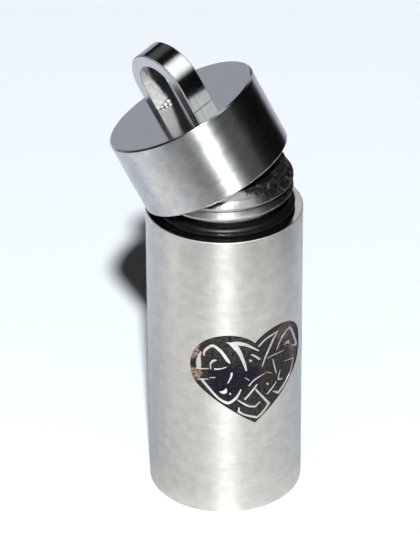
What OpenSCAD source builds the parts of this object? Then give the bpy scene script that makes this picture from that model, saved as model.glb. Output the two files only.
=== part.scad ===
// Cylinder keepsake pendant: a screw-top steel vial with a threaded neck and an O-ring,
// and its cap with a fixed bail, unscrewed and leaning on the neck.
// The origin is the centre of the vial's base. The marked front faces about -Y.

/* [Vial] */
// Outer radius of the vial and the cap
body_r = 6.35; // [6.35:0.05:8]
// Height of the vial from its base to the shoulder
body_h = 25.8; // [20:0.1:40]
// Width of the broken edges on the base and the shoulder
edge_break = 0.06; // [0.04:0.01:0.2]
// Radius of the ash chamber
chamber_r = 3.9; // [3:0.05:4.1]
// Thickness of metal under the chamber's drilled point
floor_t = 2.4; // [1.5:0.1:5]

/* [Neck and thread] */
// Crest radius of the neck's thread
thread_r = 5.55; // [5.45:0.01:5.6]
// Advance of the thread for each turn
pitch = 0.907; // [0.7:0.001:1]
// Height of the neck above the shoulder
neck_h = 3.95; // [3.8:0.05:4.2]
// Radius of the neck's end, after its lead-in cone
neck_end_r = 4.86; // [4.7:0.01:4.9]
// Height above the shoulder where the lead-in cone starts
lead_in_z = 3.18; // [3:0.01:3.3]

/* [O-ring] */
// Thickness of the rubber cord
cord_d = 0.8; // [0.6:0.05:0.9]
// Free space left round the rubber
seal_gap = 0.03; // [0.02:0.01:0.06]

/* [Cap] */
// Height of the cap
cap_h = 6.35; // [6:0.05:8]
// Width of the broken edge round the cap's top and its mouth
cap_edge = 0.12; // [0.05:0.01:0.2]
// Radius of the plain recess in the mouth, which closes over the O-ring
mouth_r = 5.8; // [5.75:0.01:5.9]
// Depth of the plain recess in the mouth
mouth_h = 1.6; // [1.2:0.1:1.7]
// Depth of the cap's whole pocket
pocket_h = 4.45; // [4.2:0.05:4.6]
// Room between the two threads, measured along the radius
thread_play = 0.06; // [0.04:0.01:0.1]

/* [Bail] */
// Outer radius of the bail's round top, and half the distance across its legs
bail_r = 3.2; // [2.9:0.05:3.4]
// Inner radius of the round top, and half the distance between the legs
bail_eye_r = 2.1; // [1.8:0.05:2.3]
// Width of the strap
bail_w = 2.05; // [1.5:0.05:2.5]
// Height of the round top's centre above the cap, which is the legs' length too
bail_z = 2.12; // [1:0.01:3]
// Distance of the bail's middle plane from the cap's axis
bail_off = 0.15; // [0:0.05:0.3]
// Turn of the bail about the cap's axis
bail_turn = 139.8; // [0:0.1:180]
// Width of the strap's broken edges
bail_edge = 0.1; // [0.05:0.01:0.2]
// Free space under the bail's feet
bail_gap = 0.03; // [0.02:0.01:0.06]

/* [Resting pose of the cap] */
// Middle of the cap's mouth to the right of the vial's axis
cap_x = -0.6; // [-0.65:0.01:-0.55]
// Middle of the cap's mouth behind the vial's axis
cap_y = -0.08; // [-0.12:0.01:0]
// Middle of the cap's mouth above the shoulder
cap_z = 3.03; // [3.03:0.01:3.2]
// Lean of the cap's axis from upright
cap_tilt = 27.3; // [27:0.1:27.5]
// Direction of the lean, counted from the right
cap_lean = 169.5; // [169:0.1:170]

/* [Heart] */
// Turn of the heart's middle from the front towards the right
heart_turn = 22.5; // [0:0.5:360]
// Height of the heart's tip above the base
heart_z = 8.6; // [5:0.1:12]
// Width of the heart, measured round the wall
heart_w = 10.8; // [8:0.1:12]
// Depth of the marked field below the wall
heart_depth = 0.06; // [0.03:0.01:0.1]

/* [Hidden] */
$fn = 96;

// Screw thread: sharp 60 degree flanks with the tips cut flat.
flank_slope = tan(30);
crest_w = pitch / 8;
depth_share = 0.6134;
thread_h = depth_share * pitch;
root_r = thread_r - thread_h;
// The ridges reach this far into the metal that carries them.
ridge_bury = 0.1;
steps_per_turn = 72;
// Part of a turn over which a thread's ends fade, and the height left of them at their very tips.
fade_turns = 0.2;
tip_rise = 0.02;
// Height of a crest at the front of the neck, above the shoulder.
front_crest_z = 2.55;
neck_first_z = 1.25;
neck_last_z = neck_h - 0.45;

// Neck: a plain foot for the rubber ring, then the thread, then the cone.
foot_cut = 0.12;
foot_r = root_r - foot_cut;
foot_h = 0.95;
mouth_bevel = 0.15;
neck_top = body_h + neck_h;
cone_slope = (thread_r - neck_end_r) / (neck_h - lead_in_z);
cone_root_z = lead_in_z + thread_h / cone_slope;

// Chamber: a drilled bore whose floor is a cone.
drill_angle = 118;
drill_point = chamber_r / tan(drill_angle / 2);

// Rubber ring.
cord_r = cord_d / 2;
seal_r = foot_r + seal_gap + cord_r;
seal_z = body_h + seal_gap + cord_r;

// Cap pocket and its thread.
cap_root_r = thread_r + thread_play;
crest_room = 0.1;
cap_crest_r = root_r + thread_play + crest_room;
thread_from_recess = 0.35;
thread_from_pocket_end = 0.45;
cap_first_z = mouth_h + thread_from_recess;
cap_last_z = pocket_h - thread_from_pocket_end;

// Heart outline, before it is scaled to heart_w: two elliptical lobes and two curved sides.
lobe_x = 2.3;
lobe_z = 5.6;
lobe_rx = 3.1;
lobe_rz = 3.05;
lobe_from = -28;
side_pull_x = 0.921;
side_pull_z = 0.824;
lobe_steps = 24;
side_steps = 12;
heart_unit_w = 2 * (lobe_x + lobe_rx);
heart_k = heart_w / heart_unit_w;

// Radius of the neck's envelope at a height above the shoulder.
function neck_limit(z) = z < lead_in_z ? thread_r : thread_r - (z - lead_in_z) * cone_slope;

// 0 at both ends of a thread and 1 between, for turns t of a thread n turns long.
function fade(t, n) = max(0, min(1, t / fade_turns, (n - t) / fade_turns));

// Four corners of a ridge's section: root, crest, crest, root, from below to above.
function ridge_section(z, root, crest_lo, crest_hi, half_root) = [
    [root, z - half_root],
    [crest_lo, z - crest_w / 2],
    [crest_hi, z + crest_w / 2],
    [root, z + half_root]
];

function round_axis(section, angle) =
    [for (p = section) [p[0] * cos(angle), p[0] * sin(angle), p[1]]];

// Closed skin over rings of four points each, turned inside out where flip is true.
module ridge_skin(rings, flip) {
    n = len(rings);
    sides = [
        for (i = [0:n - 2], k = [0:3])
            let (a = 4 * i + k, b = 4 * i + (k + 1) % 4, c = b + 4, d = a + 4)
            each [[a, b, d], [b, c, d]]
    ];
    e = 4 * n - 4;
    ends = [[0, 2, 1], [0, 3, 2], [e, e + 1, e + 2], [e, e + 2, e + 3]];
    faces = concat(sides, ends);
    polyhedron(
        points = [for (r = rings) each r],
        faces = flip ? [for (f = faces) [f[2], f[1], f[0]]] : faces
    );
}

// Right-hand ridge on the outside of the neck, cut back by the lead-in cone.
module neck_thread() {
    turns = (neck_last_z - neck_first_z) / pitch;
    count = ceil(turns * steps_per_turn);
    root = root_r - ridge_bury;
    half_root = crest_w / 2 + (thread_h + ridge_bury) * flank_slope;
    start = -90 - 360 * (front_crest_z - neck_first_z) / pitch;
    rings = [
        for (i = [0:count])
            let (
                t = turns * i / count,
                z = neck_first_z + t * pitch,
                f = fade(t, turns),
                low = min(thread_r, neck_limit(z - crest_w / 2)),
                high = min(thread_r, neck_limit(z + crest_w / 2)),
                section = ridge_section(
                    z, root,
                    root + tip_rise + f * (low - root - tip_rise),
                    root + tip_rise + f * (high - root - tip_rise),
                    half_root
                )
            )
            round_axis(section, start + 360 * t)
    ];
    translate([0, 0, body_h]) ridge_skin(rings, false);
}

// Right-hand ridge on the inside of the cap's pocket.
module cap_thread() {
    turns = (cap_last_z - cap_first_z) / pitch;
    count = ceil(turns * steps_per_turn);
    root = cap_root_r + ridge_bury;
    half_root = crest_w / 2 + (root - cap_crest_r) * flank_slope;
    rings = [
        for (i = [0:count])
            let (
                t = turns * i / count,
                z = cap_first_z + t * pitch,
                crest = root - tip_rise - fade(t, turns) * (root - tip_rise - cap_crest_r)
            )
            round_axis(ridge_section(z, root, crest, crest, half_root), 360 * t)
    ];
    ridge_skin(rings, true);
}

// Half section of the vial: wall, shoulder, neck, mouth and drilled chamber.
module vial_section() {
    polygon([
        [0, 0],
        [body_r - edge_break, 0],
        [body_r, edge_break],
        [body_r, body_h - edge_break],
        [body_r - edge_break, body_h],
        [foot_r, body_h],
        [foot_r, body_h + foot_h],
        [root_r, body_h + foot_h + root_r - foot_r],
        [root_r, body_h + cone_root_z],
        [neck_end_r, neck_top],
        [chamber_r + mouth_bevel, neck_top],
        [chamber_r, neck_top - mouth_bevel],
        [chamber_r, floor_t + drill_point],
        [0, floor_t]
    ]);
}

// Right half of the heart from the notch, over the lobe and down to the tip at the origin.
function half_heart() =
    let (
        notch = acos(-lobe_x / lobe_rx),
        a = [lobe_x + lobe_rx * cos(lobe_from), lobe_z + lobe_rz * sin(lobe_from)],
        b = [side_pull_x * a[0], side_pull_z * a[1]]
    )
    concat(
        [for (i = [0:lobe_steps]) let (u = notch + (lobe_from - notch) * i / lobe_steps)
            [lobe_x + lobe_rx * cos(u), lobe_z + lobe_rz * sin(u)]],
        [for (i = [1:side_steps]) let (t = i / side_steps)
            (1 - t) * (1 - t) * a + 2 * t * (1 - t) * b]
    );

// Outline as seen straight on, so that it measures heart_w along the curved wall.
function wrap_x(s) = body_r * sin(s / body_r * 180 / PI);

function heart_outline() =
    let (
        right = [for (p = half_heart()) heart_k * p],
        last = len(right) - 1
    )
    concat(
        [for (p = right) [wrap_x(p[0]), p[1]]],
        [for (i = [last - 1:-1:1]) [-wrap_x(right[i][0]), right[i][1]]]
    );

// Thin layer of the wall inside the heart.
module heart_field() {
    intersection() {
        rotate([0, 0, heart_turn])
            translate([0, 0, heart_z])
                rotate([90, 0, 0])
                    linear_extrude(height = 2 * body_r)
                        polygon(heart_outline());
        difference() {
            cylinder(r = body_r + 1, h = body_h);
            translate([0, 0, -1]) cylinder(r = body_r - heart_depth, h = body_h + 2);
        }
    }
}

module urn_body() {
    color("silver")
        union() {
            difference() {
                rotate_extrude() vial_section();
                heart_field();
            }
            neck_thread();
        }
}

module o_ring() {
    color("#17181a")
        translate([0, 0, seal_z])
            rotate_extrude()
                translate([seal_r, 0]) circle(r = cord_r);
}

// Carries the cap's own axes, with its mouth at z = 0, to where it leans on the neck.
module place_cap() {
    translate([cap_x, cap_y, body_h + cap_z])
        rotate([0, cap_tilt, cap_lean])
            children();
}

// Carries the bail's own axes, with its eye along z and its legs along -y, to the cap's top.
module place_bail() {
    translate([0, 0, cap_h + bail_z])
        rotate([0, 0, bail_turn])
            translate([0, bail_off, 0])
                rotate([90, 0, 0])
                    children();
}

// Half section of the cap: wall, flat top, mouth recess and threaded pocket.
module cap_section() {
    polygon([
        [mouth_r + cap_edge, 0],
        [body_r - cap_edge, 0],
        [body_r, cap_edge],
        [body_r, cap_h - cap_edge],
        [body_r - cap_edge, cap_h],
        [0, cap_h],
        [0, pocket_h],
        [cap_root_r, pocket_h],
        [cap_root_r, mouth_h],
        [mouth_r, mouth_h],
        [mouth_r, cap_edge]
    ]);
}

module cap() {
    color("silver")
        place_cap()
            union() {
                rotate_extrude() cap_section();
                cap_thread();
            }
}

// Section of the bail's strap, with its edges broken, as far out as its round top and its legs are.
module strap_section() {
    polygon([
        [bail_eye_r, -bail_w / 2 + bail_edge],
        [bail_eye_r + bail_edge, -bail_w / 2],
        [bail_r - bail_edge, -bail_w / 2],
        [bail_r, -bail_w / 2 + bail_edge],
        [bail_r, bail_w / 2 - bail_edge],
        [bail_r - bail_edge, bail_w / 2],
        [bail_eye_r + bail_edge, bail_w / 2],
        [bail_eye_r, bail_w / 2 - bail_edge]
    ]);
}

module bail_leg() {
    rotate([90, 0, 0])
        linear_extrude(height = bail_z - bail_gap)
            strap_section();
}

module bail() {
    color("gainsboro")
        place_cap()
            place_bail()
                union() {
                    intersection() {
                        rotate_extrude() strap_section();
                        translate([-bail_r - 1, 0, -bail_w])
                            cube([2 * bail_r + 2, bail_r + 1, 2 * bail_w]);
                    }
                    bail_leg();
                    mirror([1, 0, 0]) bail_leg();
                }
}

urn_body();
o_ring();
cap();
bail();
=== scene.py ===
"""Looks of the cylinder keepsake pendant: turned steel, black rubber and the marked knotwork heart.

Everything is in metres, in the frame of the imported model: +Z up, the marked front towards -Y.
Lists of places on the heart are in millimetres, across the wall and up from the heart's tip.
"""
import math

import bpy
import numpy as np
from mathutils import Matrix, Vector
from mathutils.geometry import delaunay_2d_cdt


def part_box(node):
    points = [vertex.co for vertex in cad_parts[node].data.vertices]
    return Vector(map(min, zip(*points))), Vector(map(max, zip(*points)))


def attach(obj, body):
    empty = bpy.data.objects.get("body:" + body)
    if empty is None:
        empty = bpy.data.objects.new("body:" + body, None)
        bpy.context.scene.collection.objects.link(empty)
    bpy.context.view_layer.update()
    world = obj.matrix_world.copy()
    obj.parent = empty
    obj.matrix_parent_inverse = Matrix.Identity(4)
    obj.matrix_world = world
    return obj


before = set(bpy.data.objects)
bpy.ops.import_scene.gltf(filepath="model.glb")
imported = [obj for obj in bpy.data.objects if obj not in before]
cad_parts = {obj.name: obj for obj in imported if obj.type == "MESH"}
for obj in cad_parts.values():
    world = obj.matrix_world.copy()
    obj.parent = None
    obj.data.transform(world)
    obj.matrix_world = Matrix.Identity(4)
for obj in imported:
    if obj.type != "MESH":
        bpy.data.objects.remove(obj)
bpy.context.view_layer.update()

MM = 0.001

# Sizes of the vial, from the frame. The rubber ring lies a small gap above the shoulder.
SEAL_GAP = 0.03 * MM
BODY_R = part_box("urn_body")[1][0]
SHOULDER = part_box("o_ring")[0][2] - SEAL_GAP
NECK_R = 5.56 * MM
NECK_FOOT = 1.05 * MM

# Resting pose of the cap: middle of its mouth, its tilt and the direction of its lean
CAP_MOUTH = Vector((-0.6, -0.08, 3.03)) * MM + Vector((0, 0, SHOULDER))
CAP_TILT = math.radians(27.3)
CAP_LEAN = math.radians(169.5)
CAP_H = 6.35 * MM
CAP_AXES = Matrix.Rotation(CAP_LEAN, 3, "Z") @ Matrix.Rotation(CAP_TILT, 3, "Y")
MOUTH_R = 5.8 * MM

# Bail: an arch turned about the cap's axis. Its own axes run across it, up and through its eye.
BAIL_EYE_R = 2.1 * MM
BAIL_W = 2.05 * MM
BAIL_LEG = 2.12 * MM
BAIL_TURN = math.radians(139.8)
BAIL_OFFSET = 0.15 * MM
BAIL_SWING = CAP_AXES @ Matrix.Rotation(BAIL_TURN, 3, "Z")
BAIL_AXES = BAIL_SWING @ Matrix.Rotation(math.radians(90), 3, "X")
BAIL_RISE = CAP_AXES @ Vector((0, 0, CAP_H + BAIL_LEG))
BAIL_MIDDLE = CAP_MOUTH + BAIL_RISE + BAIL_SWING @ Vector((0, BAIL_OFFSET, 0))

# Marked heart: direction it faces, height of its tip, its own height and the depth of its field
HEART_TURN = math.radians(22.5)
HEART_Z = 8.6 * MM
HEART_H = 9.6 * MM
HEART_DEPTH = 0.06 * MM
HEART_MARGIN = 0.4 * MM
WALL_SKIN = 0.3 * MM

# Part of a noise's range that is stretched over a full change: the narrower, the patchier
FAINT = (0.25, 0.75)
SOFT = (0.3, 0.7)
PATCHY = (0.35, 0.65)
BLOTCHY = (0.36, 0.64)


# Material helpers
class Net:
    """Adds and links nodes of one material or world."""

    def __init__(self, tree):
        self.tree = tree
        tree.nodes.clear()

    def add(self, kind, inputs=None, **settings):
        node = self.tree.nodes.new("ShaderNode" + kind)
        for name, value in settings.items():
            setattr(node, name, value)
        for key, value in (inputs or {}).items():
            self.feed(node.inputs[key], value)
        return node

    def feed(self, socket, value):
        if isinstance(value, bpy.types.NodeSocket):
            self.tree.links.new(value, socket)
        else:
            socket.default_value = value

    def math(self, operation, a, b=0.0, c=0.0):
        return self.add("Math", {0: a, 1: b, 2: c}, operation=operation).outputs[0]

    def vector(self, operation, a, b=(0, 0, 0)):
        return self.add("VectorMath", {0: a, 1: b}, operation=operation).outputs[0]

    def length(self, vector):
        return self.add("VectorMath", {0: vector}, operation="LENGTH").outputs["Value"]

    def parts(self, vector):
        return self.add("SeparateXYZ", {0: vector}).outputs

    def joined(self, x=0.0, y=0.0, z=0.0):
        return self.add("CombineXYZ", {0: x, 1: y, 2: z}).outputs[0]

    def even(self, value):
        """A vector of three times the same value."""
        return self.joined(value, value, value)

    def noise(self, vector, detail=2.0, roughness=0.5):
        """Noise with one bump per unit of the vector."""
        inputs = {"Vector": vector, "Scale": 1.0, "Detail": detail, "Roughness": roughness}
        return self.add("TexNoise", inputs).outputs["Fac"]

    def span(self, value, low, high, to_low=0.0, to_high=1.0, smooth=False):
        inputs = {"Value": value, "From Min": low, "From Max": high}
        inputs |= {"To Min": to_low, "To Max": to_high}
        kind = "SMOOTHSTEP" if smooth else "LINEAR"
        return self.add("MapRange", inputs, interpolation_type=kind).outputs["Result"]

    def past(self, value, limit, start, end):
        """Goes from 0 to 1 as the value passes the limit: start and end are in mm from it."""
        return self.span(value, limit + start * MM, limit + end * MM)

    def product(self, *masks):
        result = masks[0]
        for mask in masks[1:]:
            result = self.math("MULTIPLY", result, mask)
        return result

    def mix(self, factor, a, b):
        node = self.add("Mix", data_type="RGBA")
        for socket, value in ((node.inputs[0], factor), (node.inputs[6], a), (node.inputs[7], b)):
            if isinstance(value, tuple) and len(value) == 3:
                value = (*value, 1.0)
            self.feed(socket, value)
        return node.outputs[2]

    def bump(self, height, distance, strength=1.0):
        inputs = {"Height": height, "Distance": distance, "Strength": strength}
        return self.add("Bump", inputs).outputs[0]

    def principled(self, inputs):
        return self.add("BsdfPrincipled", inputs).outputs[0]

    def emission(self, colour, strength):
        return self.add("Emission", {"Color": (*colour, 1.0), "Strength": strength}).outputs[0]

    def blend(self, factor, a, b):
        return self.add("MixShader", {0: factor, 1: a, 2: b}).outputs[0]

    def finish(self, shader):
        self.add("OutputMaterial", {"Surface": shader})


def new_material(name):
    material = bpy.data.materials.new(name)
    material.use_nodes = True
    return material, Net(material.node_tree)


class Lathe:
    """Coordinates of a turned piece: its place, distance from its axis and height along it."""

    def __init__(self, net, origin, axes):
        self.net = net
        seen = net.add("TexCoord").outputs["Object"]
        turn = tuple(axes.to_euler("XYZ"))
        inputs = {"Vector": seen, "Location": tuple(origin), "Rotation": turn}
        self.place = net.add("Mapping", inputs, vector_type="TEXTURE").outputs[0]
        self.x, self.y, self.height = net.parts(self.place)
        self.radius = net.length(net.vector("MULTIPLY", self.place, (1, 1, 0)))
        arm = net.vector("SUBTRACT", seen, tuple(origin))
        around = net.vector("CROSS_PRODUCT", tuple(axes @ Vector((0, 0, 1))), arm)
        self.around = net.vector("NORMALIZE", around)

    def lines(self, spacing, length, slant=0.0, detail=2.0):
        """Noise drawn out round the axis, like the marks of a tool or a belt."""
        stretched = self.net.vector("MULTIPLY", self.place, (1 / length, 1 / length, 1 / spacing))
        if slant:
            lift = self.net.math("MULTIPLY", self.x, slant / spacing)
            stretched = self.net.vector("ADD", stretched, self.net.joined(z=lift))
        return self.net.noise(stretched, detail, roughness=0.6)

    def rings(self, spacing):
        """Noise that changes only with the distance from the axis, like facing cuts."""
        steps = self.net.math("MULTIPLY", self.radius, 1 / spacing)
        return self.net.noise(self.net.joined(steps), detail=2.0, roughness=0.6)

    def clouds(self, size):
        scaled = self.net.vector("MULTIPLY", self.place, (1 / size,) * 3)
        return self.net.noise(scaled, detail=3.0, roughness=0.55)


class Strap(Lathe):
    """Coordinates of a strap bent to an arch, whose legs run straight down from its round top."""

    def __init__(self, net, origin, axes):
        super().__init__(net, origin, axes)
        bent = net.math("MAXIMUM", self.y, 0.0)
        self.radius = net.length(net.joined(self.x, bent))
        sideways = net.vector("MULTIPLY", net.even(bent), tuple(-axes.col[0]))
        upwards = net.vector("MULTIPLY", net.even(self.x), tuple(axes.col[1]))
        self.around = net.vector("NORMALIZE", net.vector("ADD", sideways, upwards))


# Steels, each a pair of greys between which faint clouds run
PLAIN_STEEL = ((0.545, 0.540, 0.538), (0.602, 0.562, 0.508))
FACE_STEEL = ((0.655, 0.620, 0.605), (0.695, 0.650, 0.625))
TOP_STEEL = ((0.545, 0.565, 0.590), (0.600, 0.592, 0.562))
VIAL_STEEL = ((0.656, 0.608, 0.562), (0.682, 0.622, 0.557))
CAP_STEEL = ((0.590, 0.580, 0.575), (0.646, 0.610, 0.564))
# Near-black steel: painted shade inside the bail's eye
EYE_SHADE_STEEL = ((0.045, 0.045, 0.050), (0.060, 0.056, 0.054))
TINT_SIZE = 1.6 * MM
MOTTLE_SIZE = 0.9 * MM

# Brushing: spacing and length of the fine lines and of the hairlines, share and size of the
# worn clouds, and how much they roughen and shade the steel
FINE_LINES = (0.15 * MM, 1.6 * MM)
HAIRLINES = (0.26 * MM, 3.6 * MM)
BRUSH_SLANT = 0.03
WORN_SHARE = 0.4
WORN_SIZE = 1.5 * MM
WORN_ROUGHER = 0.03
BRUSH_SHADE = 0.11
BRUSH_DEPTH = 0.0004 * MM

# Turning and facing: how the roughness varies, how dark the cuts are and how deep
UNEVEN_SIZE = 1.4 * MM
UNEVEN_ROUGH = (-0.008, 0.012)
CUT_SHADE = 0.2
CUT_DEPTH = 0.0004 * MM


def steel_colour(net, lathe, marks, depth, steel, mottle):
    """Steel grey with faint cool and warm clouds, a little darker in the marks."""
    base = net.mix(net.span(lathe.clouds(TINT_SIZE), *PATCHY), *steel)
    patches = net.span(lathe.clouds(MOTTLE_SIZE), *PATCHY, 1.0 - mottle, 1.0 + mottle)
    shade = net.math("MULTIPLY", net.span(marks, *FAINT, 1.0 - depth, 1.0), patches)
    return net.vector("MULTIPLY", base, net.even(shade))


def brushed_wall(net, lathe, rough, aniso, slant=BRUSH_SLANT, steel=PLAIN_STEEL, mottle=0.03):
    """Outside wall brushed round the axis: narrow glints along it, hairlines across them."""
    fine = lathe.lines(*FINE_LINES, slant, detail=0.0)
    hair = lathe.lines(*HAIRLINES, slant, detail=1.0)
    worn = net.math("MULTIPLY", hair, 1 - WORN_SHARE)
    worn = net.math("MULTIPLY_ADD", lathe.clouds(WORN_SIZE), WORN_SHARE, worn)
    marks = net.math("MULTIPLY_ADD", fine, 0.5, net.math("MULTIPLY", hair, 0.5))
    return net.principled(
        {
            "Base Color": steel_colour(net, lathe, marks, BRUSH_SHADE, steel, mottle),
            "Metallic": 1.0,
            "Roughness": net.span(worn, *BLOTCHY, rough, rough + WORN_ROUGHER),
            "Anisotropic": aniso,
            "Anisotropic Rotation": 0.25,
            "Tangent": lathe.around,
            "Normal": net.bump(marks, BRUSH_DEPTH, strength=0.2),
        }
    )


def machined(net, lathe, rough, marks, line_depth=CUT_DEPTH, steel=PLAIN_STEEL):
    """Plainly turned or faced steel, which mirrors softly the same way in all directions."""
    smoothest, roughest = (rough + change for change in UNEVEN_ROUGH)
    return net.principled(
        {
            "Base Color": steel_colour(net, lathe, marks, CUT_SHADE, steel, mottle=0.01),
            "Metallic": 1.0,
            "Roughness": net.span(lathe.clouds(UNEVEN_SIZE), *SOFT, smoothest, roughest),
            "Normal": net.bump(marks, line_depth, strength=0.5),
        }
    )


# Scorched field of the heart: middle in mm, radius in mm, colour
BLACKENED = (0.019, 0.0155, 0.0145)
SCORCHES = [
    ((-2.0, 8.2), 2.4, (0.024, 0.021, 0.018)),
    ((-2.2, 4.2), 2.3, (0.005, 0.005, 0.010)),
    ((-0.6, 4.6), 1.3, (0.005, 0.005, 0.012)),
    ((-5.3, 6.9), 0.9, (0.17, 0.125, 0.095)),
    ((-5.1, 4.9), 0.9, (0.16, 0.115, 0.082)),
    ((3.2, 7.6), 1.5, (0.060, 0.044, 0.038)),
    ((4.5, 5.2), 1.1, (0.075, 0.054, 0.046)),
    ((0.4, 0.8), 1.9, (0.024, 0.019, 0.017)),
]
# Wander of the scorches' rims in mm, the part of each that is full, and the specks over all:
# how many to a mm across and up, how dark and light they get and how deep they are
SCORCH_WANDER = 0.5
SCORCH_CORE = 0.45
WANDERS_PER_MM = (1.1, 1.1, 1.1)
SPECKS_PER_MM = (3.6, 5.2, 1.0)
SPECK_SHADE = (0.1, 2.3)
SPECK_DEPTH = 0.012 * MM


def heart_place(net, lathe):
    """Place on the unrolled heart, in mm from its tip."""
    angle = net.math("ARCTAN2", lathe.x, net.math("MULTIPLY", lathe.y, -1.0))
    across = net.math("MULTIPLY", net.math("SUBTRACT", angle, HEART_TURN), BODY_R / MM)
    up = net.math("MULTIPLY", net.math("SUBTRACT", lathe.height, HEART_Z), 1 / MM)
    return net.joined(across, up)


def scorched_field(net, lathe):
    """Floor of the heart, burnt dark: blue-black in the middle and bronze towards its edges."""
    flat = heart_place(net, lathe)
    warp = net.noise(net.vector("MULTIPLY", flat, WANDERS_PER_MM), detail=2.0, roughness=0.5)
    wobble = net.span(warp, *SOFT, -SCORCH_WANDER, SCORCH_WANDER)
    colour = BLACKENED
    for middle, radius, scorch in SCORCHES:
        away = net.length(net.vector("SUBTRACT", flat, (*middle, 0)))
        away = net.math("ADD", away, wobble)
        colour = net.mix(net.span(away, radius, radius * SCORCH_CORE, smooth=True), colour, scorch)
    speck = net.noise(net.vector("MULTIPLY", flat, SPECKS_PER_MM), detail=3.0, roughness=0.65)
    shade = net.span(speck, *BLOTCHY, *SPECK_SHADE)
    return net.principled(
        {
            "Base Color": net.vector("MULTIPLY", colour, net.even(shade)),
            "Metallic": 0.0,
            "Roughness": net.span(speck, *SOFT, 0.40, 0.62),
            "Specular IOR Level": 0.10,
            "Normal": net.bump(speck, SPECK_DEPTH, strength=0.8),
        }
    )


def painted_dark_edge(net):
    """Broken edge in a dull dark grey: a painted dark line standing in for the dark surroundings the
    edge mirrors.
    """
    edge_shade_grey = (0.24, 0.235, 0.23, 1.0)
    return net.principled({"Base Color": edge_shade_grey, "Metallic": 0.6, "Roughness": 0.6})


# Painted shade of the leaning cap on the thread, under its raised side, speckled with bronze grains.
# Distances in mm: how far to the right it starts, its lower end above the shoulder and where that end
# turns upwards.
CAP_SHADE_FROM_TO = (0.9, 1.7)
CAP_SHADE_FOOT = 2.75
CAP_SHADE_TURN = 3.6
CAP_SHADE_SLOPE = 0.33
CAP_SHADE_EDGE = 0.3
CAP_SHADE_WOBBLE = 1.4
CAP_SHADE_BLOT = 0.5 * MM
CAP_SHADE_GRAIN = 0.42 * MM
CAP_SHADE_GRAINY = (0.52, 0.76)
CAP_SHADE_COLOURS = ((0.004, 0.0035, 0.004), (0.115, 0.09, 0.078))
# Painted shade over the thread's right side: where it starts and ends across, in mm, and how much of
# it is covered
RIGHT_SHADE_FROM_TO = (2.6, 4.6)
RIGHT_SHADE_SHARE = 0.75


def painted_cap_shade(net, lathe):
    """How much of the thread the painted shade covers, under the cap's raised side and along the
    right, and its speckled dark look.
    """
    right = net.math("MULTIPLY", lathe.x, 1 / MM)
    raised = net.math("MULTIPLY_ADD", lathe.height, 1 / MM, -SHOULDER / MM)
    blots = net.math("SUBTRACT", lathe.clouds(CAP_SHADE_BLOT), 0.5)
    raised = net.math("MULTIPLY_ADD", blots, CAP_SHADE_WOBBLE, raised)
    rise = net.math("MAXIMUM", net.math("SUBTRACT", CAP_SHADE_TURN, right), 0.0)
    foot = net.math("MULTIPLY_ADD", rise, CAP_SHADE_SLOPE, CAP_SHADE_FOOT)
    cap_shade_cover = net.span(net.math("SUBTRACT", raised, foot), 0.0, CAP_SHADE_EDGE)
    cap_shade_cover = net.math("MULTIPLY", cap_shade_cover, net.span(right, *CAP_SHADE_FROM_TO))
    # Painted shade: the thread's right side darker
    right_side_shade = net.span(right, *RIGHT_SHADE_FROM_TO, 0.0, RIGHT_SHADE_SHARE)
    grains = net.span(lathe.clouds(CAP_SHADE_GRAIN), *CAP_SHADE_GRAINY)
    look = net.principled(
        {
            "Base Color": net.mix(grains, *CAP_SHADE_COLOURS),
            "Roughness": 0.5,
            "Specular IOR Level": 0.12,
        }
    )
    return net.math("MAXIMUM", cap_shade_cover, right_side_shade), look


def vial_steel():
    material, net = new_material("vial_steel")
    lathe = Lathe(net, Vector(), Matrix.Identity(3))
    wall = brushed_wall(net, lathe, rough=0.278, aniso=0.8, steel=VIAL_STEEL, mottle=0.065)
    # Painted dark line along the wall's top edge
    wall = net.blend(net.past(lathe.height, SHOULDER, -0.07, -0.055), wall, painted_dark_edge(net))
    thread = brushed_wall(net, lathe, rough=0.278, aniso=0.7, slant=0.0)
    # Painted shade of the cap over the thread's right side, as dark speckled grains
    cover, dark = painted_cap_shade(net, lathe)
    thread = net.blend(cover, thread, dark)
    turned = lathe.lines(spacing=0.08 * MM, length=3.0 * MM)
    foot = machined(net, lathe, rough=0.17, marks=turned)
    neck = net.blend(net.math("LESS_THAN", lathe.height, SHOULDER + NECK_FOOT), thread, foot)
    flat = machined(net, lathe, rough=0.12, marks=lathe.rings(spacing=0.06 * MM))
    above = net.past(lathe.height, SHOULDER, -0.012, -0.006)
    on_neck = net.past(lathe.radius, NECK_R, 0.01, 0.0)
    steel = net.blend(above, wall, net.blend(on_neck, flat, neck))
    sunk = net.past(lathe.radius, BODY_R, -0.016, -0.024)
    over = net.math("GREATER_THAN", lathe.height, HEART_Z - HEART_MARGIN)
    under = net.math("LESS_THAN", lathe.height, HEART_Z + HEART_H + HEART_MARGIN)
    outside = net.math("GREATER_THAN", lathe.radius, BODY_R - WALL_SKIN)
    in_heart = net.product(sunk, over, under, outside)
    net.finish(net.blend(in_heart, steel, scorched_field(net, lathe)))
    return material


def cap_steel():
    material, net = new_material("cap_steel")
    lathe = Lathe(net, CAP_MOUTH, CAP_AXES)
    wall = brushed_wall(net, lathe, rough=0.278, aniso=0.88, steel=CAP_STEEL, mottle=0.10)
    top = machined(net, lathe, rough=0.13, marks=lathe.rings(spacing=0.06 * MM), steel=TOP_STEEL)
    turned = lathe.lines(spacing=0.09 * MM, length=3.0 * MM)
    inside = machined(net, lathe, rough=0.31, marks=turned, line_depth=0.004 * MM)
    steel = net.blend(net.past(lathe.radius, MOUTH_R, 0.3, 0.2), wall, inside)
    net.finish(net.blend(net.past(lathe.height, CAP_H, -0.02, -0.01), steel, top))
    return material


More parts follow.
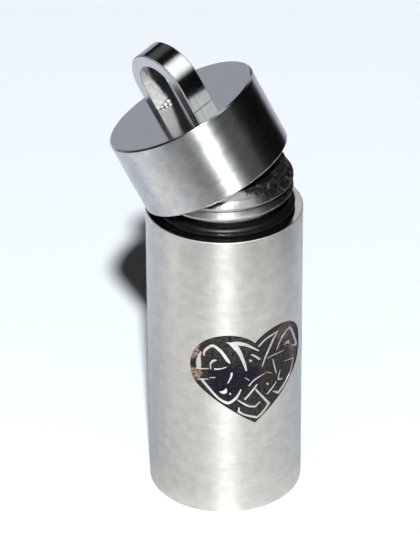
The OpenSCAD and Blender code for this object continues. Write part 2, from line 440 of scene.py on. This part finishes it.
# The weld's rough white skin on one leg ends along a slant through the eye; past it the eye's inside
# is painted near-black as shade.
WELD_SLOPE = 0.2
WELD_WOBBLE = 0.25 * MM
WELD_FROM_TO = (-0.12 * MM, 0.05 * MM)
WELD_LUMP = 0.22 * MM
WELD_WHITES = ((0.25, 0.24, 0.235), (0.38, 0.375, 0.37))


def bail_steel():
    material, net = new_material("bail_steel")
    strap = Strap(net, BAIL_MIDDLE, BAIL_AXES)
    rolled = strap.lines(spacing=0.10 * MM, length=2.0 * MM)
    ground = strap.rings(spacing=0.07 * MM)
    off_middle = net.math("ABSOLUTE", strap.height)
    wall = machined(net, strap, rough=0.13, marks=rolled, steel=TOP_STEEL)
    # Painted dark lines along the strap's edges
    wall = net.blend(net.past(off_middle, BAIL_W / 2, -0.1, -0.07), wall, painted_dark_edge(net))
    face = machined(net, strap, 0.23, ground, line_depth=0.001 * MM, steel=FACE_STEEL)
    # The eye's inside is painted near-black: painted shade
    shaded_eye_wall = machined(net, strap, 0.40, rolled, line_depth=0.001 * MM, steel=EYE_SHADE_STEEL)
    lumps = strap.clouds(WELD_LUMP)
    welded = net.principled(
        {
            "Base Color": net.mix(net.span(lumps, *PATCHY), *WELD_WHITES),
            "Metallic": 0.15,
            "Roughness": 0.55,
            "Normal": net.bump(lumps, distance=0.03 * MM, strength=0.8),
        }
    )
    heat = net.math("MULTIPLY_ADD", strap.y, -WELD_SLOPE, strap.height)
    heat = net.math("MULTIPLY_ADD", net.math("SUBTRACT", lumps, 0.5), WELD_WOBBLE, heat)
    on_leg = net.math("LESS_THAN", strap.x, 0.0)
    near_weld = net.math("MULTIPLY", net.span(heat, *WELD_FROM_TO), on_leg)
    eye = net.blend(near_weld, shaded_eye_wall, welded)
    in_eye = net.past(strap.radius, BAIL_EYE_R, 0.06, 0.03)
    on_face = net.past(off_middle, BAIL_W / 2, -0.02, -0.01)
    net.finish(net.blend(on_face, net.blend(in_eye, wall, eye), face))
    return material


# Grains and shallow waves of the rubber, and grains of the weld's beads, to a metre
GRAINS_PER_M = (9000, 9000, 9000)
WAVES_PER_M = (900, 900, 900)
GRAIN_DEPTH = 0.004 * MM
RUBBER_BLACKS = ((0.0012, 0.0012, 0.0018), (0.005, 0.005, 0.007))


def black_rubber():
    material, net = new_material("seal_rubber")
    place = net.add("TexCoord").outputs["Object"]
    dust = net.noise(net.vector("MULTIPLY", place, GRAINS_PER_M), detail=2.0, roughness=0.6)
    wave = net.noise(net.vector("MULTIPLY", place, WAVES_PER_M), detail=2.0, roughness=0.5)
    look = net.principled(
        {
            "Base Color": net.mix(net.span(dust, 0.45, 0.75), *RUBBER_BLACKS),
            "Roughness": net.span(wave, *SOFT, 0.36, 0.48),
            "Specular IOR Level": 0.14,
            "Normal": net.bump(dust, GRAIN_DEPTH, strength=0.5),
        }
    )
    net.finish(look)
    return material


# Places across the heart, in mm, between which its lines turn from bright to half burnt
BROWNED_FROM_TO = (0.6, 3.2)
BRIGHT_LINES = ((0.60, 0.56, 0.52), (0.74, 0.70, 0.66))
BROWNED_LINES = ((0.47, 0.415, 0.400), (0.58, 0.520, 0.50))


def bare_lines():
    """The knotwork's strokes: bare steel left standing between the burnt bands."""
    material, net = new_material("bare_lines")
    lathe = Lathe(net, Vector(), Matrix.Identity(3))
    hair = lathe.lines(spacing=0.12 * MM, length=2.0 * MM, slant=BRUSH_SLANT)
    across = net.parts(heart_place(net, lathe))[0]
    bright = net.mix(net.span(hair, *SOFT), *BRIGHT_LINES)
    browned = net.mix(net.span(hair, *SOFT), *BROWNED_LINES)
    steel = net.principled(
        {
            "Base Color": net.mix(net.span(across, *BROWNED_FROM_TO), bright, browned),
            "Metallic": 1.0,
            "Roughness": net.span(hair, *SOFT, 0.30, 0.34),
            "Anisotropic": 0.7,
            "Anisotropic Rotation": 0.25,
            "Tangent": lathe.around,
        }
    )
    char = {"Base Color": (*BLACKENED, 1.0), "Roughness": 0.5, "Specular IOR Level": 0.13}
    bare = net.past(lathe.radius, BODY_R, -0.02, -0.008)
    net.finish(net.blend(bare, net.principled(char), steel))
    return material


for node_name, material in (
    ("urn_body", vial_steel()),
    ("cap", cap_steel()),
    ("bail", bail_steel()),
    ("o_ring", black_rubber()),
):
    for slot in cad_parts[node_name].material_slots:
        slot.material = material


# Knotwork strokes: (across, up, width) in mm. A point given twice is a corner.
LEFT_STROKES = [
    [
        (-4.2, 6.7, 0.17), (-4.1, 7.15, 0.23), (-3.5, 7.65, 0.27), (-2.85, 7.2, 0.28),
        (-2.3, 6.35, 0.28), (-2.1, 6.05, 0.15),
    ],
    [(-4.45, 7.0, 0.06), (-4.6, 6.45, 0.28), (-4.65, 5.95, 0.46), (-4.65, 5.5, 0.42)],
    [(-4.9, 5.3, 0.13), (-4.4, 5.35, 0.15), (-3.85, 5.45, 0.1)],
    [(-3.3, 5.45, 0.17), (-2.85, 5.5, 0.13), (-2.4, 5.65, 0.1)],
    [(-3.2, 6.3, 0.13), (-3.4, 6.25, 0.23), (-3.65, 5.95, 0.17), (-3.65, 5.45, 0.1)],
    [(-1.95, 5.05, 0.19), (-2.0, 4.7, 0.17), (-2.25, 4.15, 0.1)],
    [(-3.7, 4.6, 0.1), (-3.3, 4.65, 0.11)],
    [(-4.75, 4.3, 0.08), (-4.4, 4.35, 0.17), (-3.85, 4.45, 0.08)],
    [
        (-4.43, 4.31, 0.19), (-4.16, 4.02, 0.26), (-3.31, 2.98, 0.22), (-2.87, 2.54, 0.22),
        (-2.31, 2.23, 0.28), (-1.9, 2.38, 0.25), (-1.5, 2.8, 0.23), (-1.2, 3.4, 0.13),
    ],
    [(-2.95, 3.3, 0.06), (-2.7, 3.25, 0.28), (-2.5, 3.3, 0.38), (-2.4, 3.6, 0.1)],
    [(-2.1, 3.15, 0.13), (-2.05, 3.05, 0.15)],
    [
        (-2.35, 8.0, 0.06), (-2.1, 7.9, 0.21), (-1.7, 7.6, 0.49), (-1.35, 7.05, 0.38),
        (-1.1, 6.4, 0.3), (-0.9, 5.8, 0.25), (-0.75, 5.2, 0.17),
    ],
    [
        (-1.95, 7.95, 0.15), (-1.45, 7.85, 0.36), (-0.95, 7.7, 0.32), (-0.5, 7.45, 0.25),
        (0.3, 6.85, 0.15),
    ],
]
MIDDLE_STROKES = [
    [(-0.3, 6.6, 0.16), (0.05, 6.35, 0.19), (0.4, 6.0, 0.18)],
    [(-0.45, 6.1, 0.18), (-0.35, 6.0, 0.19)],
    [(-0.85, 4.5, 0.09), (-0.5, 4.2, 0.09)],
    [(-0.5, 3.7, 0.16), (-0.15, 4.05, 0.16), (0.3, 4.3, 0.12), (0.9, 4.5, 0.07)],
    [(0.95, 4.6, 0.05), (1.3, 4.45, 0.09), (1.6, 4.25, 0.05)],
    [(0.15, 3.6, 0.18), (-0.35, 3.0, 0.21), (-0.85, 2.45, 0.19)],
    [
        (0.1, 3.15, 0.16), (0.9, 2.0, 0.23), (1.3, 1.45, 0.26), (1.3, 1.45, 0.26),
        (0.55, 0.68, 0.23), (0.15, 0.47, 0.24), (0.15, 0.47, 0.24), (-0.85, 0.93, 0.19),
        (-1.38, 1.31, 0.22), (-1.38, 1.31, 0.22), (-1.36, 1.68, 0.14),
    ],
    [
        (-1.45, 2.45, 0.12), (-1.0, 2.05, 0.18), (-0.5, 1.7, 0.19), (0.05, 1.55, 0.19),
        (0.05, 1.55, 0.19), (0.45, 1.9, 0.12),
    ],
]
RIGHT_STROKES = [
    [(0.35, 7.25, 0.17), (0.75, 7.6, 0.17), (1.15, 7.8, 0.16), (1.7, 7.95, 0.16), (2.25, 8.1, 0.06)],
    [(2.15, 8.0, 0.12), (1.75, 7.5, 0.22), (1.35, 6.8, 0.22), (1.0, 6.15, 0.19), (0.65, 5.25, 0.12)],
    [
        (2.1, 6.35, 0.12), (2.65, 7.2, 0.19), (3.5, 7.7, 0.2), (3.9, 7.4, 0.28), (4.25, 6.8, 0.32),
        (4.9, 5.45, 0.3), (4.9, 5.45, 0.3), (4.45, 5.6, 0.16), (3.95, 5.85, 0.08),
    ],
    [(3.05, 6.25, 0.08), (3.15, 6.4, 0.14), (3.45, 6.45, 0.34), (3.6, 6.25, 0.2)],
    [(1.15, 5.85, 0.07), (1.75, 5.95, 0.12), (2.9, 5.9, 0.09)],
    [(1.7, 5.55, 0.1), (1.8, 5.05, 0.16), (2.05, 4.1, 0.13)],
    [
        (3.05, 4.8, 0.07), (3.65, 4.65, 0.12), (4.3, 4.45, 0.13), (4.3, 4.45, 0.13),
        (4.1, 3.85, 0.24), (3.75, 3.2, 0.25), (3.1, 2.65, 0.23), (2.3, 2.1, 0.26), (2.3, 2.1, 0.26),
        (1.75, 2.45, 0.13),
    ],
    [(2.5, 4.2, 0.08), (2.35, 3.8, 0.13), (2.3, 3.4, 0.19), (2.75, 3.25, 0.13)],
    [(1.15, 2.45, 0.16), (1.65, 2.85, 0.16), (2.05, 3.25, 0.1)],
    [(1.1, 3.45, 0.16), (1.2, 3.35, 0.17)],
]

# How the strokes are meshed, in mm: steps along them, their sloping sides, the points of a round
# end, the thinnest half width, the cosine past which a bend is a corner, and what counts as one place
STROKE_STEP = 0.09
STROKE_BEVEL = 0.015
ROUND_END_POINTS = 10
THINNEST_HALF = 0.012
STRAIGHT_COSINE = 0.9
SAME_PLACE = 1e-6
MERGE_WITHIN = 1e-4

# How far the strokes' tops lie below the wall, and their sloping sides and bottoms below the field
TOP_BELOW = 0.002 * MM
SIDES_BELOW = 0.005 * MM
BOTTOM_BELOW = 0.02 * MM


def curved(points):
    """A smooth line through the points, with the width smoothed along it too."""
    padded = [points[0], *points, points[-1]]
    line = [Vector(points[0])]
    for a, b, c, d in zip(padded, padded[1:], padded[2:], padded[3:]):
        a, b, c, d = (Vector(p) for p in (a, b, c, d))
        gap = (c - b).xy.length
        if gap < SAME_PLACE:
            continue
        steps = max(1, math.ceil(gap / STROKE_STEP))
        for step in range(1, steps + 1):
            t = step / steps
            pull = (c - a) * t + (2 * a - 5 * b + 4 * c - d) * t**2 + (3 * b - a - 3 * c + d) * t**3
            line.append(b + pull / 2)
    return line


def stroke_patches(points, thinner):
    """Flat patches that together cover one stroke: a quad per step and a round end or joint."""
    line = curved(points)
    patches = []
    sides = []
    for here, before, after in zip(line, [line[0], *line[:-1]], [*line[1:], line[-1]]):
        ahead = (after - before).xy.normalized()
        half = max(THINNEST_HALF, here.z / 2 - thinner)
        across = Vector((-ahead.y, ahead.x)) * half
        sides.append((here.xy + across, here.xy - across))
        corner = here == line[0] or here == line[-1]
        bend = (here - before).xy.normalized().dot((after - here).xy.normalized())
        if corner or bend < STRAIGHT_COSINE:
            ring = [2 * math.pi * k / ROUND_END_POINTS for k in range(ROUND_END_POINTS)]
            patches.append([here.xy + half * Vector((math.cos(a), math.sin(a))) for a in ring])
    for (a, b), (c, d) in zip(sides, sides[1:]):
        patches.append([a, b, d, c])
    return patches


def on_wall(flat, radius):
    """The place on the vial's wall of a place on the flat heart."""
    angle = HEART_TURN + flat[0] * MM / BODY_R
    return Vector((radius * math.sin(angle), -radius * math.cos(angle), HEART_Z + flat[1] * MM))


def turn_outwards(patch):
    area = sum(a.x * b.y - b.x * a.y for a, b in zip(patch, [*patch[1:], patch[0]]))
    return patch if area > 0 else patch[::-1]


def covered(spots, patches):
    """For each spot, whether it lies in one of the convex patches."""
    hit = np.zeros(len(spots), dtype=bool)
    for patch in patches:
        corners = np.array([tuple(corner) for corner in patch])
        sides = np.roll(corners, -1, axis=0) - corners
        arms = spots[:, None, :] - corners[None, :, :]
        turns = sides[None, :, 0] * arms[:, :, 1] - sides[None, :, 1] * arms[:, :, 0]
        hit |= (turns >= 0).all(axis=1)
    return hit


def new_piece(name, verts, faces):
    mesh = bpy.data.meshes.new(name)
    mesh.from_pydata(verts, [], faces)
    piece = bpy.data.objects.new(name, mesh)
    bpy.context.scene.collection.objects.link(piece)
    return piece


def heart_lines(strokes):
    """Raised strokes as one closed mesh: a top, sloping sides, and a bottom just in the field."""
    layers = []
    for thinner in (STROKE_BEVEL, 0.0):
        patches = [patch for stroke in strokes for patch in stroke_patches(stroke, thinner)]
        layers.append([turn_outwards(patch) for patch in patches])
    tops, bases = layers
    places = []
    faces = []
    for patch in tops + bases:
        faces.append(list(range(len(places), len(places) + len(patch))))
        places += patch
    flat, _, triangles, _, _, _ = delaunay_2d_cdt(places, [], faces, 0, MERGE_WITHIN)
    spots = np.array([(sum((flat[v] for v in tri), Vector((0, 0))) / 3)[:] for tri in triangles])
    kept = [tri for tri, inside in zip(triangles, covered(spots, bases)) if inside]
    in_top = covered(spots, tops)
    raised = {v for tri, inside in zip(triangles, in_top) if inside for v in tri}
    used = sorted({v for tri in kept for v in tri})
    number = {v: i for i, v in enumerate(used)}
    high = BODY_R - TOP_BELOW
    low = BODY_R - HEART_DEPTH - SIDES_BELOW
    bottom = low - BOTTOM_BELOW
    verts = [on_wall(flat[v], high if v in raised else low) for v in used]
    verts += [on_wall(flat[v], bottom) for v in used]
    count = len(used)
    polys = [[number[v] for v in tri] for tri in kept]
    edges = {(a, b) for tri in polys for a, b in zip(tri, [*tri[1:], tri[0]])}
    rims = [(a, b) for a, b in edges if (b, a) not in edges]
    polys += [[v + count for v in reversed(tri)] for tri in polys]
    polys += [[b, a, a + count, b + count] for a, b in rims]
    piece = new_piece("heart_lines", verts, polys)
    piece.data.validate()
    piece.data.materials.append(bare_lines())
    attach(piece, "vial")


heart_lines(LEFT_STROKES + MIDDLE_STROKES + RIGHT_STROKES)


# Weld beads along the inside of one leg's foot, in mm: place through the eye, place above the
# cap and size
WELD_BEADS = [(0.62, 0.06, 0.15), (0.25, 0.09, 0.21), (-0.17, 0.10, 0.22)]
BEAD_ROWS = 8
BEAD_SIDES = 14
BEAD_SINK = 0.3
BEAD_STRETCH = 1.2
BEAD_RIPPLE = 0.08
BEAD_LOBES = 3
BEAD_TWIST = 9
BEAD_CLEAR = 0.01 * MM
BEAD_GOLDS = ((0.28, 0.25, 0.20), (0.38, 0.36, 0.32))


def weld_gold():
    material, net = new_material("weld_gold")
    place = net.add("TexCoord").outputs["Object"]
    ripple = net.noise(net.vector("MULTIPLY", place, GRAINS_PER_M), detail=2.0, roughness=0.5)
    look = net.principled(
        {
            "Base Color": net.mix(net.span(ripple, *SOFT), *BEAD_GOLDS),
            "Metallic": 1.0,
            "Roughness": net.span(ripple, *SOFT, 0.46, 0.60),
            "Normal": net.bump(ripple, GRAIN_DEPTH, strength=0.5),
        }
    )
    net.finish(look)
    return material


def bead_spots(through, above, size):
    """Places on one drop of weld in the bail's own axes, from its one tip to the other."""
    inside = BAIL_EYE_R - (1 - BEAD_SINK) * size * MM
    middle = Vector((-inside, above * MM - BAIL_LEG, through * MM))
    end = Vector((0, 0, BEAD_STRETCH * size * MM))
    spots = [middle + end]
    for row in range(1, BEAD_ROWS):
        tilt = math.pi * row / BEAD_ROWS
        for side in range(BEAD_SIDES):
            swing = 2 * math.pi * side / BEAD_SIDES
            ripple = BEAD_RIPPLE * math.sin(BEAD_LOBES * swing + BEAD_TWIST * through)
            reach = size * MM * (1 + ripple * math.sin(tilt))
            flat = Vector((math.cos(swing), math.sin(swing), 0)) * math.sin(tilt)
            flat.z = BEAD_STRETCH * math.cos(tilt)
            spots.append(middle + reach * flat)
    spots.append(middle - end)
    return spots


def weld_beads():
    """Small drops of weld in a row along the foot, each drawn out a little and uneven."""
    verts = []
    faces = []
    for bead in WELD_BEADS:
        top = len(verts)
        for spot in bead_spots(*bead):
            spot.y = max(spot.y, BEAD_CLEAR - BAIL_LEG)
            verts.append(BAIL_MIDDLE + BAIL_AXES @ spot)
        bottom = len(verts) - 1
        for side in range(BEAD_SIDES):
            following = (side + 1) % BEAD_SIDES
            faces.append((top, top + 1 + side, top + 1 + following))
            for row in range(BEAD_ROWS - 2):
                a = top + 1 + row * BEAD_SIDES + side
                b = top + 1 + row * BEAD_SIDES + following
                faces.append((a, a + BEAD_SIDES, b + BEAD_SIDES, b))
            faces.append((bottom - BEAD_SIDES + side, bottom, bottom - BEAD_SIDES + following))
    piece = new_piece("weld_beads", verts, faces)
    piece.data.shade_smooth()
    piece.data.materials.append(weld_gold())
    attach(piece, "cap_with_bail")


weld_beads()


# Stage, light and camera
def area_light(name, place, aim, size, power):
    data = bpy.data.lights.new(name, "AREA")
    data.energy = power
    data.shape = "DISK"
    data.size = size
    light = bpy.data.objects.new(name, data)
    light.location = place
    light.rotation_euler = (Vector(aim) - Vector(place)).to_track_quat("-Z", "Y").to_euler()
    bpy.context.scene.collection.objects.link(light)
    return light


def panel(name, width, height):
    """A flat sheet about its own middle."""
    x, y = width / 2, height / 2
    corners = [(-x, -y, 0), (x, -y, 0), (x, y, 0), (-x, y, 0)]
    sheet = new_piece(name, corners, [(0, 1, 2, 3)])
    return sheet


def only_reflected(sheet):
    """Lets only reflections see a sheet, as a flag or card out of the picture."""
    sheet.visible_camera = False
    sheet.visible_diffuse = False
    sheet.visible_shadow = False
    sheet.visible_transmission = False


CARD_CORE = 0.2


def card(name, place, aim, size, colour, strength, fades=False):
    """A plain lit card, which may fade towards its upper and lower ends."""
    sheet = panel(name, *size)
    sheet.location = place
    sheet.rotation_euler = (Vector(aim) - Vector(place)).to_track_quat("Z", "Y").to_euler()
    material, net = new_material(name)
    if fades:
        upward = net.parts(net.add("TexCoord").outputs["Object"])[1]
        off_middle = net.math("ABSOLUTE", upward)
        end = size[1] / 2
        strength = net.span(off_middle, end, CARD_CORE * end, 0.0, strength, smooth=True)
    net.finish(net.emission(colour, strength))
    sheet.data.materials.append(material)
    only_reflected(sheet)


# What the steel mirrors of the floor in front: lit paper, shaded close to the pendant and brightest
# before it ends, then a dim floor, then the dark room. Distances from the pendant's foot.
SURROUND_SIZE = 3.0
SURROUND_PLACE = (-0.002, 0.0, 0.00005)
FOOT_R = 0.0075
FOOT_END_R = 0.0125
FOOT_SHARE = 0.13
SHADED_R = 0.014
BRIGHT_R = 0.038
PAPER_R = 0.0555
PAPER_EDGE = 0.007
DIM_R = 0.15
DARK_R = 0.24
LEFT_END = 0.13
RIGHT_END = 0.050
RIGHT_EDGE = 0.011
FRONT_FROM_TO = (0.055, 0.012)
SHADED_SHARE = 0.18
DIM_SHARE = 0.90
PAPER_GLOW = 0.135
COOL_FROM_TO = (-0.012, 0.008)
ROOM_BLACK = (0.0015, 0.0015, 0.002)
PAPER_LIGHT = (0.93, 0.96, 1.0)
CLEAR = (1.0, 1.0, 1.0)
COOLED = (0.71, 0.745, 0.81)


def dark_surround():
    """A sheet just over the floor, seen only in reflections, that ends the lit paper in front."""
    sheet = panel("dark_surround", SURROUND_SIZE, SURROUND_SIZE)
    sheet.location = SURROUND_PLACE
    material, net = new_material("dark_surround")
    place = net.add("TexCoord").outputs["Object"]
    away = net.length(place)
    right, back, _ = net.parts(place)
    in_front = net.span(net.math("SUBTRACT", back, right), *FRONT_FROM_TO)
    near = net.span(away, SHADED_R, BRIGHT_R, SHADED_SHARE, 0.0)
    near = net.math("ADD", near, net.span(away, FOOT_R, FOOT_END_R, FOOT_SHARE, 0.0))
    middle = net.span(away, PAPER_R, PAPER_R + PAPER_EDGE, 0.0, DIM_SHARE)
    far = net.span(away, DIM_R, DARK_R, 0.0, 1.0 - DIM_SHARE)
    far = net.math("MAXIMUM", far, net.span(right, RIGHT_END, RIGHT_END + RIGHT_EDGE))
    cover = net.math("MULTIPLY_ADD", net.math("ADD", middle, far), in_front, near)
    cover = net.math("ADD", cover, net.span(right, -LEFT_END, -LEFT_END - PAPER_EDGE))
    glow = net.math("MULTIPLY", net.span(away, SHADED_R, BRIGHT_R), PAPER_GLOW)
    tint = net.mix(net.span(back, *COOL_FROM_TO), CLEAR, COOLED)
    clear = net.add("BsdfTransparent", {"Color": tint}).outputs[0]
    paper = net.add("AddShader", {0: clear, 1: net.emission(PAPER_LIGHT, glow)}).outputs[0]
    net.finish(net.blend(cover, paper, net.emission(ROOM_BLACK, 1.0)))
    sheet.data.materials.append(material)
    only_reflected(sheet)


FLOOR_SIZE = 4.0


def paper_floor():
    sheet = panel("floor", FLOOR_SIZE, FLOOR_SIZE)
    material, net = new_material("floor_paper")
    colour = (0.855, 0.915, 0.968, 1.0)
    net.finish(net.principled({"Base Color": colour, "Roughness": 0.9, "Specular IOR Level": 0.1}))
    sheet.data.materials.append(material)


FLASH_AIM = Vector((0, 0, 0.016))
FLASH_AWAY = 1.5
FLASH_AZIMUTH = math.radians(2.1)
FLASH_HEIGHT = math.radians(44.0)
FLASH_SIZE = 0.075
FLASH_POWER = 35.0
GLINT_POWER = 70.0
GLINT_COLOUR = (0.84, 0.94, 1.0)
FILL_PLACE = (-0.6, 0.4, 1.2)
FILL_SIZE = 0.8
FILL_POWER = 0.6
ROOM_COLOUR = (0.82, 0.90, 1.0, 1.0)
ROOM_STRENGTH = 0.002


def lights():
    level = math.cos(FLASH_HEIGHT)
    towards = Vector(
        (level * math.sin(FLASH_AZIMUTH), -level * math.cos(FLASH_AZIMUTH), math.sin(FLASH_HEIGHT))
    )
    place = FLASH_AIM + FLASH_AWAY * towards
    area_light("flash", place, FLASH_AIM, FLASH_SIZE, FLASH_POWER)
    glint = area_light("glint", place, FLASH_AIM, FLASH_SIZE, GLINT_POWER)
    glint.visible_diffuse = False
    glint.data.color = GLINT_COLOUR
    fill = area_light("fill", FILL_PLACE, FLASH_AIM, FILL_SIZE, FILL_POWER)
    fill.visible_glossy = False
    world = bpy.data.worlds.new("studio")
    world.use_nodes = True
    bpy.context.scene.world = world
    sky = Net(world.node_tree)
    room = sky.add("Background", {"Color": ROOM_COLOUR, "Strength": ROOM_STRENGTH})
    sky.add("OutputWorld", {"Surface": room.outputs[0]})


def cards():
    card(
        "back_card",
        place=(-0.20, 0.36, 0.06),
        aim=(-0.003, 0, 0.03),
        size=(0.5, 0.14),
        colour=(0.90, 0.94, 1.04),
        strength=0.56,
    )
    card(
        "soft_box",
        place=(0.168, -0.088, 0.419),
        aim=(-0.004, 0, 0.036),
        size=(0.12, 0.58),
        colour=(0.95, 0.98, 1.0),
        strength=2.1,
        fades=True,
    )
    card(
        "rear_card",
        place=(-0.119, 0.295, 0.354),
        aim=(-0.004, 0, 0.036),
        size=(0.20, 0.40),
        colour=(0.90, 0.94, 1.0),
        strength=0.13,
        fades=True,
    )
    card(
        "side_card",
        place=(0.06, 0.34, 0.23),
        aim=(0, 0, 0.026),
        size=(0.16, 0.12),
        colour=(0.97, 0.98, 1.0),
        strength=0.85,
    )
    card(
        "flag",
        place=(0.34, -0.06, 0.10),
        aim=(0, 0, 0.03),
        size=(0.60, 0.26),
        colour=(1.0, 1.0, 1.0),
        strength=0.002,
    )


# Camera where the photograph's perspective puts it
CAMERA_BACK = 223.1 * MM
CAMERA_UP = 152.5 * MM
CAMERA_TILT = math.radians(30.73)
CAMERA_PAN = math.radians(-0.26)
CAMERA_ROLL = math.radians(-0.24)
CAMERA_LENS = 215.3


def camera():
    data = bpy.data.cameras.new("camera")
    data.lens = CAMERA_LENS
    data.sensor_width = 36.0
    data.clip_start = 0.01
    eye = bpy.data.objects.new("camera", data)
    forward = Vector((0, math.cos(CAMERA_TILT), -math.sin(CAMERA_TILT)))
    up = Vector((0, math.sin(CAMERA_TILT), math.cos(CAMERA_TILT)))
    right = Vector((1, 0, 0))
    ahead = forward * math.cos(CAMERA_PAN) + right * math.sin(CAMERA_PAN)
    side = right * math.cos(CAMERA_PAN) - forward * math.sin(CAMERA_PAN)
    side, top = (
        side * math.cos(CAMERA_ROLL) + up * math.sin(CAMERA_ROLL),
        up * math.cos(CAMERA_ROLL) - side * math.sin(CAMERA_ROLL),
    )
    turn = Matrix((side, top, -ahead)).transposed()
    eye.matrix_world = Matrix.Translation((0, -CAMERA_BACK, CAMERA_UP)) @ turn.to_4x4()
    bpy.context.scene.collection.objects.link(eye)
    bpy.context.scene.camera = eye


paper_floor()
dark_surround()
lights()
cards()
camera()
bpy.context.scene.view_settings.view_transform = "Standard"
